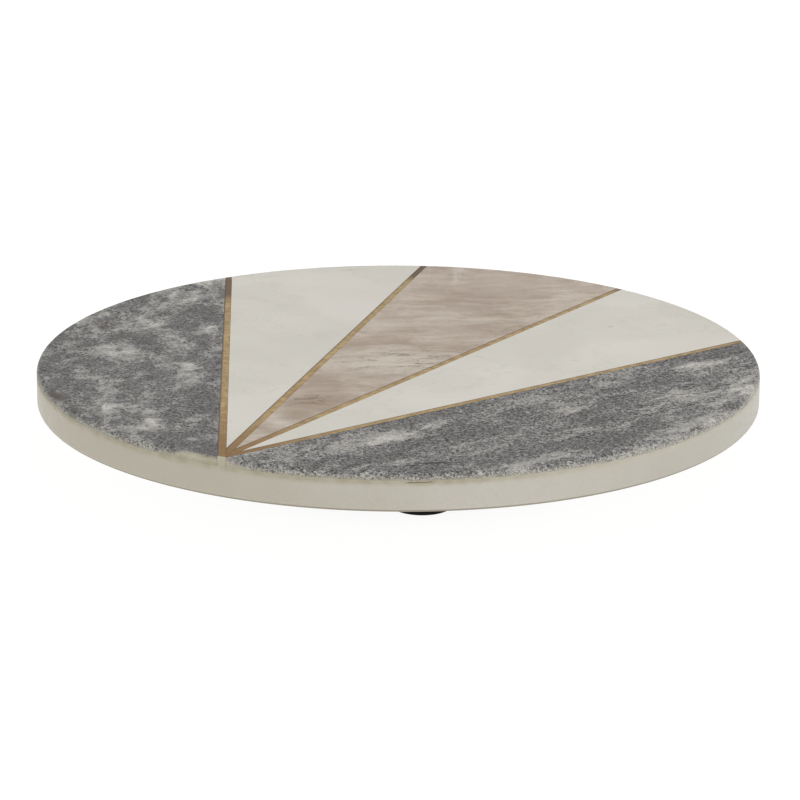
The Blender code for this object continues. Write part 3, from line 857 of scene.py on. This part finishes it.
def rubber(name):
    """Matt black moulded rubber, greyed where the sole wears."""
    g = Graph(name, specular=0.15)
    place = g.place()
    mottle = g.noise(place, 5 * MM, 5, 0.65)
    colour = g.blend(mottle, tone(9, 9, 9), tone(20, 20, 19))
    low = g.ramp(g.axis(place, "Z"), 0.5 * MM, 0.05 * MM)
    scuff = g.times(low, g.ramp(g.noise(place, 1.5 * MM, 4, 0.7), 0.45, 0.65, 0.0, 0.5))
    colour = g.blend(scuff, colour, tone(74, 72, 69))
    roughness = g.ramp(mottle, 0.3, 0.7, 0.7, 0.88)
    return g.finished(colour, roughness, g.noise(place, 0.35 * MM, 2, 0.6), 0.02 * MM)


# The inlaid top -----


def strip_edge(index, side, clearance=0.0):
    """One long edge of a strip, as two points beyond the rim: side 1 is its left, -1 its right."""
    along = polar(1, STRIP_DIRECTIONS[index]).xy
    across = Vector((-along.y, along.x)) * side
    length = 2 * TOP_RADIUS
    start = APEX.xy + across * (STRIP_WIDTH_AT_APEX / 2 + clearance)
    end = APEX.xy + along * length + across * (STRIP_WIDTH_AT_FAR_RIM / 2 + clearance)
    reach = (end - start) * STRIP_OVERRUN
    return start - reach, end + reach


def crossing(first, second):
    """Where two lines, each given by two points, meet."""
    p, q = first
    r, s = second
    u, v = q - p, s - r
    return p + u * ((r - p).cross(v) / u.cross(v))


def strip_corners(index):
    """A strip's plan: a tapering bar, mitred against the right edge of the strip before it."""
    left, right = strip_edge(index, 1), strip_edge(index, -1)
    if index == 0:
        return [right[0], right[1], left[1], left[0]]
    stop = strip_edge(index - 1, -1, JOINT_GAP)
    return [crossing(right, stop), right[1], left[1], crossing(left, stop)]


def tile_corners(index):
    """A tile's plan: the wedge between two strips, or all that lies outside the first or the last strip."""
    last = len(STRIP_DIRECTIONS)
    if index == 0:
        edge = strip_edge(0, 1, JOINT_GAP)
        outward = polar(2 * TOP_RADIUS, STRIP_DIRECTIONS[0] + 90).xy
        return [edge[0], edge[1], edge[1] + outward, edge[0] + outward]
    if index == last:
        edge = strip_edge(last - 1, -1, JOINT_GAP)
        start = crossing(edge, strip_edge(0, -1, JOINT_GAP))
        outward = polar(2 * TOP_RADIUS, STRIP_DIRECTIONS[-1] - 90).xy
        rearward = polar(2 * TOP_RADIUS, STRIP_DIRECTIONS[0] + 180).xy
        return [start, start + rearward, start + rearward + outward, edge[1] + outward, edge[1]]
    right_of_one = strip_edge(index - 1, -1, JOINT_GAP)
    left_of_next = strip_edge(index, 1, JOINT_GAP)
    return [crossing(right_of_one, left_of_next), left_of_next[1], right_of_one[1]]


def hand_ground(point):
    """The shoulder is ground by hand: points on it lie up to GROUND_DEPTH inside the true round."""
    over = max(0.0, min(1.0, (point.xy.length - (TOP_RADIUS - SHOULDER_RADIUS)) / (0.3 * MM)))
    rough = noise.fractal(point * GROUND_SCALE, 0.6, 2.0, 4) * 0.5 + 0.5
    inward = GROUND_DEPTH * over * max(0.0, min(1.0, rough))
    return point - Vector((*point.xy.normalized() * inward, inward * 0.8 * over))


def inlay_layer():
    """The whole inlay as one disc with its ground shoulder, to be cut into tiles and strips."""
    flat_edge = TOP_RADIUS - SHOULDER_RADIUS
    shoulder = arc(flat_edge, TOP_FACE - SHOULDER_RADIUS, SHOULDER_RADIUS, 0, 90, RIM_STEPS)
    outline = [(0, TILE_BOTTOM), (TOP_RADIUS, TILE_BOTTOM), *shoulder]
    outline += [(flat_edge - FLAT_MARGIN, TOP_FACE), (0, TOP_FACE)]
    return turned("layer", outline, RIM_FACETS, wobble=hand_ground)


def inlay_piece(node, corners, material):
    below, above = ([(x, y, z) for x, y in corners] for z in (TILE_BOTTOM - PAST, TOP_FACE + PAST))
    plan = between("plan", below, above)
    stand_for(node, cut(inlay_layer(), plan, operation="INTERSECT"), material)


def build_inlay():
    white = white_marble("white_marble_tile", WHITE_SPECKS)
    left = grey_marble("grey_marble_left", 84, LEFT_CLOUDS, 1.5, 2.8, LEFT_STAINS)
    front = grey_marble("grey_marble_front", 42, FRONT_CLOUDS, 3.4, 3.5, cracks=FRONT_CRACKS)
    looks = (
        ("tile_grey_left", left),
        ("tile_white_left", white),
        ("tile_rose_beige", rose_marble("rose_beige_marble_tile")),
        ("tile_white_right", white),
        ("tile_grey_front", front),
    )
    for index, (node, look) in enumerate(looks):
        inlay_piece(node, tile_corners(index), look)
    for index, tarnish in enumerate(FAR_TARNISH):
        look = brass_strip(f"brass_bar_{index + 1}", STRIP_DIRECTIONS[index], tarnish)
        inlay_piece(f"brass_strip_{index + 1}", strip_corners(index), look)


def build_slab():
    flat_edge = TOP_RADIUS - UNDER_EDGE_RADIUS
    under = arc(flat_edge, SLAB_BOTTOM + UNDER_EDGE_RADIUS, UNDER_EDGE_RADIUS, -90, 0, RIM_STEPS)
    outline = [(0, SLAB_BOTTOM), (flat_edge - FLAT_MARGIN, SLAB_BOTTOM), *under]
    outline += [(TOP_RADIUS, SLAB_TOP), (0, SLAB_TOP)]
    bushes = numbered("threaded_bush")
    _, radius, _, top = span(bushes[0])
    seats = holes_mesh(centres(bushes), radius + SEAT_CLEARANCE, -PAST, top + SEAT_ROOM)
    slab = cut(turned("slab", outline, RIM_FACETS), seats)
    stand_for("carrier_slab", slab, slab_marble("slab_marble"))
    bed = [(0, SLAB_TOP), (TOP_RADIUS, SLAB_TOP), (TOP_RADIUS, TILE_BOTTOM), (0, TILE_BOTTOM)]
    stand_for("resin_bed", turned("bed", bed, RIM_FACETS), resin("adhesive"))


# The bearing -----


def softened(outline, radius, steps=3):
    """A closed outline with each corner off the axis drawn round, as far as its two edges allow."""
    made = []
    for i, corner in enumerate(outline):
        here = Vector(corner)
        before = Vector(outline[i - 1]) - here
        after = Vector(outline[(i + 1) % len(outline)]) - here
        if here.x < 1e-9 or before.angle(-after) < math.radians(8):
            made.append(corner)
            continue
        reach = min(radius, before.length * 0.45, after.length * 0.45)
        start, end = here + before.normalized() * reach, here + after.normalized() * reach
        for step in range(steps + 1):
            t = step / steps
            made.append(tuple(start * (1 - t) ** 2 + here * 2 * t * (1 - t) + end * t**2))
    return made


def plate_section():
    """Half section of a pressed bearing plate lying on its mounting face, with the race on top."""
    land = SHEET + LAND_RISE
    race_centre = SHEET + RACE_RADIUS
    lip = math.degrees(math.asin((race_centre - land) / RACE_RADIUS))
    race = arc(PITCH_RADIUS, race_centre, RACE_RADIUS, -lip, lip - 180, RACE_STEPS)
    outer, inner = race[0][0] + LAND_WIDTH, race[-1][0] - LAND_WIDTH
    face = [(PLATE_RADIUS, SHEET), (outer + PRESSED_SLOPE, SHEET), (outer, land), *race, (inner, land)]
    face += [(inner - PRESSED_SLOPE, SHEET), (HUB_RADIUS + PRESSED_SLOPE, SHEET), (HUB_RADIUS, HUB_RISE)]
    face.append((PIVOT_HOLE_RADIUS, HUB_RISE))
    return softened(face + [(radius, height - SHEET) for radius, height in reversed(face)], SHEET / 3)


def holes_mesh(places, radius, bottom, top):
    builder = bmesh.new()
    for x, y in places:
        outline = [(0, bottom), (radius, bottom), (radius, top), (0, top)]
        add_turned(builder, outline, SMALL_FACETS, (x, y, 0))
    return mesh_of(builder, "holes")


def driver_hole():
    """Where a screwdriver passes through the base to the upper screws."""
    return polar(PLATE_SCREW_RADIUS, BASE_TURN + ACCESS_HOLE_AZIMUTH).xy


def build_plates():
    steel = plated_steel("zinc_plate")
    plates = (
        ("lower_plate", "lower_screw", WOOD_SCREW_HOLE, heights("lower_plate")[0], 1),
        ("upper_plate", "upper_screw", MACHINE_SCREW_HOLE, heights("upper_plate")[1], -1),
    )
    for node, screw, hole, face, sign in plates:
        outline = [(radius, face + sign * height) for radius, height in plate_section()]
        low, high = face - 3 * SHEET, face + 3 * SHEET
        cuts = [holes_mesh(centres(numbered(screw)), hole, low, high)]
        if sign > 0:
            cuts.append(holes_mesh([driver_hole()], ACCESS_RADIUS, low, high))
        stand_for(node, cut(turned(node, outline, RING_FACETS), *cuts), steel)


def build_pivot():
    """The tubular rivet with its rolled flanges, and the washer between the plates' hubs."""
    low, high = heights("pivot_rivet")
    bore, flange = ring_radii("pivot_rivet")
    body = PIVOT_HOLE_RADIUS - RIVET_CLEARANCE
    under, over = low + RIVET_FLANGE, high - RIVET_FLANGE
    outline = [(bore, low), (flange, low), (flange, under), (body, under)]
    outline += [(body, over), (flange, over), (flange, high), (bore, high)]
    rolled = softened(outline, RIVET_FLANGE * 0.45, 5)
    stand_for("pivot_rivet", turned("rivet", rolled, RING_FACETS), plated_steel("zinc_rivet", 6.0))
    ring = ring_outline(*ring_radii("pivot_washer"), *heights("pivot_washer"))
    spacer = turned("spacer", softened(ring, WASHER_EDGE), RING_FACETS)
    stand_for("pivot_washer", spacer, nylon("washer_nylon"))


def build_cage():
    """The ball retainer with its pockets, and the balls in them."""
    low, high = heights("ball_cage")
    ring = ring_outline(PITCH_RADIUS - CAGE_WIDTH / 2, PITCH_RADIUS + CAGE_WIDTH / 2, low, high)
    balls = [f"ball_{number:02d}" for number in range(1, BALL_COUNT + 1)]
    places = centres(balls)
    pockets = holes_mesh(places, BALL_RADIUS + POCKET_CLEARANCE, low - 2 * MM, high + 2 * MM)
    cage = cut(turned("cage", softened(ring, CAGE_EDGE), RING_FACETS), pockets)
    stand_for("ball_cage", cage, nylon("cage_nylon"))
    bright = plated_steel("ball_steel", pressed=False)
    outline = arc(0, 0, BALL_RADIUS, -90, 90, BALL_PARALLELS)
    outline[0], outline[-1] = (0, -BALL_RADIUS), (0, BALL_RADIUS)
    for ball, (x, y) in zip(balls, places):
        stand_for(ball, turned(ball, outline, BALL_MERIDIANS, (x, y, (low + high) / 2)), bright)


# Fasteners -----


def threaded(radius, start, end, pitch, depth):
    """Moves the points of a shank in and out along a screw line."""

    def wobble(point):
        if not start < point.z < end or point.xy.length < radius * 0.6:
            return point
        turn = math.atan2(point.y, point.x) / (2 * math.pi)
        wave = abs(((point.z / pitch - turn) % 1.0) - 0.5) * 2
        scale = (point.xy.length - depth * (1 - wave)) / point.xy.length
        return Vector((point.x * scale, point.y * scale, point.z))

    return wobble


def cross_bar(turn):
    """One bar of a head's cross recess, narrower at its floor, turned about the screw's axis."""
    mouth = -HEAD_HEIGHT - MM
    taper = [(-CROSS_MOUTH_REACH, mouth), (CROSS_MOUTH_REACH, mouth)]
    taper += [(CROSS_FLOOR_REACH, CROSS_FLOOR), (-CROSS_FLOOR_REACH, CROSS_FLOOR)]
    rotate = Matrix.Rotation(math.radians(turn), 3, "Z")
    half = CROSS_WIDTH / 2
    near, far = ([rotate @ Vector((x, y, z)) for x, z in taper] for y in (-half, half))
    return between("cross_bar", near, far)


def screw_mesh(node, shank, length, pitch):
    """A pan head screw with a cross recess, its head's underside at height 0 and its shank going up."""
    crown_centre = (HEAD_RADIUS - CROWN_RADIUS, CROWN_RADIUS - HEAD_HEIGHT)
    crown = arc(*crown_centre, CROWN_RADIUS, -90, 0, EDGE_STEPS)
    rows = int(length / pitch * ROWS_PER_TURN)
    levels = [length * i / rows for i in range(rows + 1)]
    side = [(shank, level) for level in levels if level < length - shank]
    outline = [(0, -HEAD_HEIGHT), (HEAD_FLAT_RADIUS, -HEAD_HEIGHT), *crown, (HEAD_RADIUS, 0), *side]
    outline += [(shank * TIP_SHARE, length - THREAD_RUN_OUT), (0, length)]
    thread = threaded(shank, THREAD_RUN_OUT, length - THREAD_RUN_OUT, pitch, THREAD_DEPTH)
    blank = turned(node, outline, SCREW_FACETS, wobble=thread)
    return cut(blank, cross_bar(0), cross_bar(90))


def build_screws():
    steel = plated_steel("zinc_screw", 8.0, False)
    kinds = (
        ("foot_screw", WOOD_SHANK, WOOD_PITCH, False),
        ("lower_screw", WOOD_SHANK, WOOD_PITCH, True),
        ("upper_screw", MACHINE_SHANK, MACHINE_PITCH, False),
    )
    for kind, shank, pitch, turned_over in kinds:
        low, high = heights(kind + "_1")
        pattern = screw_mesh(kind, shank, high - low - HEAD_HEIGHT, pitch)
        seat = high - HEAD_HEIGHT if turned_over else low + HEAD_HEIGHT
        flip = Matrix.Rotation(math.pi, 4, "X") if turned_over else Matrix.Identity(4)
        for node, drive_turn in zip(numbered(kind), DRIVE_TURNS):
            drive = Matrix.Rotation(math.radians(drive_turn), 4, "Z")
            mesh = pattern.copy()
            mesh.transform(Matrix.Translation((*span(node)[0], seat)) @ drive @ flip)
            stand_for(node, mesh, steel)


def build_bushes():
    """Threaded bushes with a knurled outside."""
    look = machined_brass("bush_brass")
    for bush in numbered("threaded_bush"):
        centre, radius, low, high = span(bush)
        outline = softened(ring_outline(MACHINE_SCREW_HOLE, radius, low, high), BUSH_EDGE)

        def knurl(point, radius=radius):
            if point.xy.length < radius - KNURL_REACH:
                return point
            facet = round(math.degrees(math.atan2(point.y, point.x)) * SMALL_FACETS / 360)
            return Vector((*(point.xy * (1 - KNURL_SHARE * (facet % 2))), point.z))

        stand_for(bush, turned(bush, outline, SMALL_FACETS, (*centre, 0), knurl), look)


# Base and feet -----


def build_base_disc():
    low, high = heights("base_disc")
    radius = span("base_disc")[1]
    edge = BASE_EDGE_RADIUS
    flat_edge = radius - edge - MM
    outline = [(0, low), (flat_edge, low), *arc(radius - edge, low + edge, edge, -90, 0, RIM_STEPS)]
    outline += [*arc(radius - edge, high - edge, edge, 0, 90, RIM_STEPS), (flat_edge, high), (0, high)]
    feet, screws = centres(numbered("foot")), centres(numbered("lower_screw"))
    disc = cut(
        turned("base", outline, BASE_FACETS),
        holes_mesh(feet, WOOD_SCREW_HOLE, low - MM, high - PILOT_REST),
        holes_mesh(screws, WOOD_SCREW_HOLE, low + PILOT_REST, high + MM),
        holes_mesh([driver_hole()], ACCESS_RADIUS, low - MM, high + MM),
    )
    stand_for("base_disc", disc, lacquer("black_lacquer_satin"))


def foot_section():
    """Half section of a rubber foot: a grooved sole, a flaring side and the screw's recess."""
    top = heights("foot_1")[1]
    sole = [(FOOT_RECESS_RADIUS, 0.0), (FOOT_RECESS_RADIUS + SOLE_LAND, 0.0)]
    for index in range(GROOVE_COUNT):
        groove = FOOT_RECESS_RADIUS + FIRST_GROOVE + index * GROOVE_PITCH
        sole += [(groove - GROOVE_HALF_WIDTH, 0.0), (groove - GROOVE_HALF_FLOOR, GROOVE_DEPTH)]
        sole += [(groove + GROOVE_HALF_FLOOR, GROOVE_DEPTH), (groove + GROOVE_HALF_WIDTH, 0.0)]
    edge = arc(SOLE_RADIUS - FOOT_EDGE, FOOT_EDGE, FOOT_EDGE, -90, 0, EDGE_STEPS)
    flare = (FOOT_TOP_RADIUS - SOLE_RADIUS) / (top - FOOT_EDGE)
    side = []
    for share in (0.0, 0.5, 1.0):
        rise = SIDE_GROOVE_HEIGHT + SIDE_GROOVE_WIDTH * share
        inward = SIDE_GROOVE_DEPTH * math.sin(math.pi * share)
        side.append((SOLE_RADIUS + flare * rise - inward, FOOT_EDGE + rise))
    recess = [(WOOD_SCREW_HOLE, FOOT_RECESS_DEPTH), (FOOT_RECESS_RADIUS, FOOT_RECESS_DEPTH)]
    return [*sole, *edge, *side, (FOOT_TOP_RADIUS, top), (WOOD_SCREW_HOLE, top), *recess]


def build_feet():
    look = rubber("moulded_rubber")
    steel = plated_steel("zinc_washer", 4.0, False)
    section = softened(foot_section(), FOOT_ROUNDING)
    for foot, washer in zip(numbered("foot"), numbered("foot_washer")):
        centre = (*span(foot)[0], 0)
        stand_for(foot, turned(foot, section, FOOT_FACETS, centre), look)
        _, radius, low, high = span(washer)
        ring = softened(ring_outline(WOOD_SCREW_HOLE, radius, low, high), WASHER_EDGE)
        stand_for(washer, turned(washer, ring, SMALL_FACETS, centre), steel)


# Stage -----


def build_camera():
    target = Vector((0, 0, TOP_FACE))
    elevation = math.radians(CAMERA_ELEVATION)
    back = Vector((0, -math.cos(elevation), math.sin(elevation)))
    right = Vector((1, 0, 0))
    facing = Matrix((right, back.cross(right), back)).transposed()
    roll = Matrix.Rotation(math.radians(CAMERA_ROLL), 3, "Z")
    tilt = Matrix.Rotation(math.radians(-AIM_DOWN), 3, "X")
    pan = Matrix.Rotation(math.radians(-AIM_RIGHT), 3, "Y")
    data = bpy.data.cameras.new("camera")
    data.lens = LENS
    data.sensor_width = SENSOR
    data.clip_end = 100
    camera = shown("camera", data)
    turn = (facing @ roll @ tilt @ pan).to_4x4()
    camera.matrix_world = Matrix.Translation(target + back * CAMERA_DISTANCE) @ turn
    bpy.context.scene.camera = camera


def floor_material():
    """Pale paper that glows faintly from below, and is clear when seen from underneath."""
    g = Graph("floor_paper", roughness=0.9, specular=0.0)
    place = g.place()
    paper = g.noise(place, 3 * MM, 3, 0.6)
    g.surface("Base Color", g.blend(paper, tone(96, 96, 95), tone(100, 100, 99)))
    g.surface("Emission Color", (1, 1, 1, 1))
    g.surface("Emission Strength", FLOOR_GLOW)
    clear = g.node("ShaderNodeBsdfTransparent", {}).outputs[0]
    behind = g.node("ShaderNodeNewGeometry", {}).outputs["Backfacing"]
    both = g.node("ShaderNodeMixShader", {0: behind, 1: g.shader.outputs[0], 2: clear}).outputs[0]
    g.feed(g.nodes["Material Output"].inputs["Surface"], both)
    return g.material


def build_floor():
    builder = bmesh.new()
    bmesh.ops.create_grid(builder, x_segments=8, y_segments=8, size=FLOOR_REACH)
    mesh = mesh_of(builder, "floor")
    mesh.materials.append(floor_material())
    if mesh.polygons[0].normal.z < 0:
        mesh.flip_normals()
    shown("floor", mesh)


def build_light():
    world = bpy.data.worlds.new("studio")
    bpy.context.scene.world = world
    world.use_nodes = True
    background = world.node_tree.nodes["Background"]
    background.inputs["Color"].default_value = (1, 1, 1, 1)
    background.inputs["Strength"].default_value = SKY_STRENGTH
    lamp = bpy.data.lights.new("key", "AREA")
    lamp.shape = "DISK"
    lamp.size = KEY_SIZE
    lamp.energy = KEY_POWER
    key = shown("key", lamp)
    key.location = KEY_PLACE
    key.rotation_euler = (-Vector(KEY_PLACE)).to_track_quat("-Z", "Y").to_euler()


build_inlay()
build_slab()
build_plates()
build_pivot()
build_cage()
build_screws()
build_bushes()
build_base_disc()
build_feet()
build_camera()
build_floor()
build_light()

bpy.context.scene.view_settings.view_transform = "Standard"
bpy.context.scene.view_settings.look = "None"
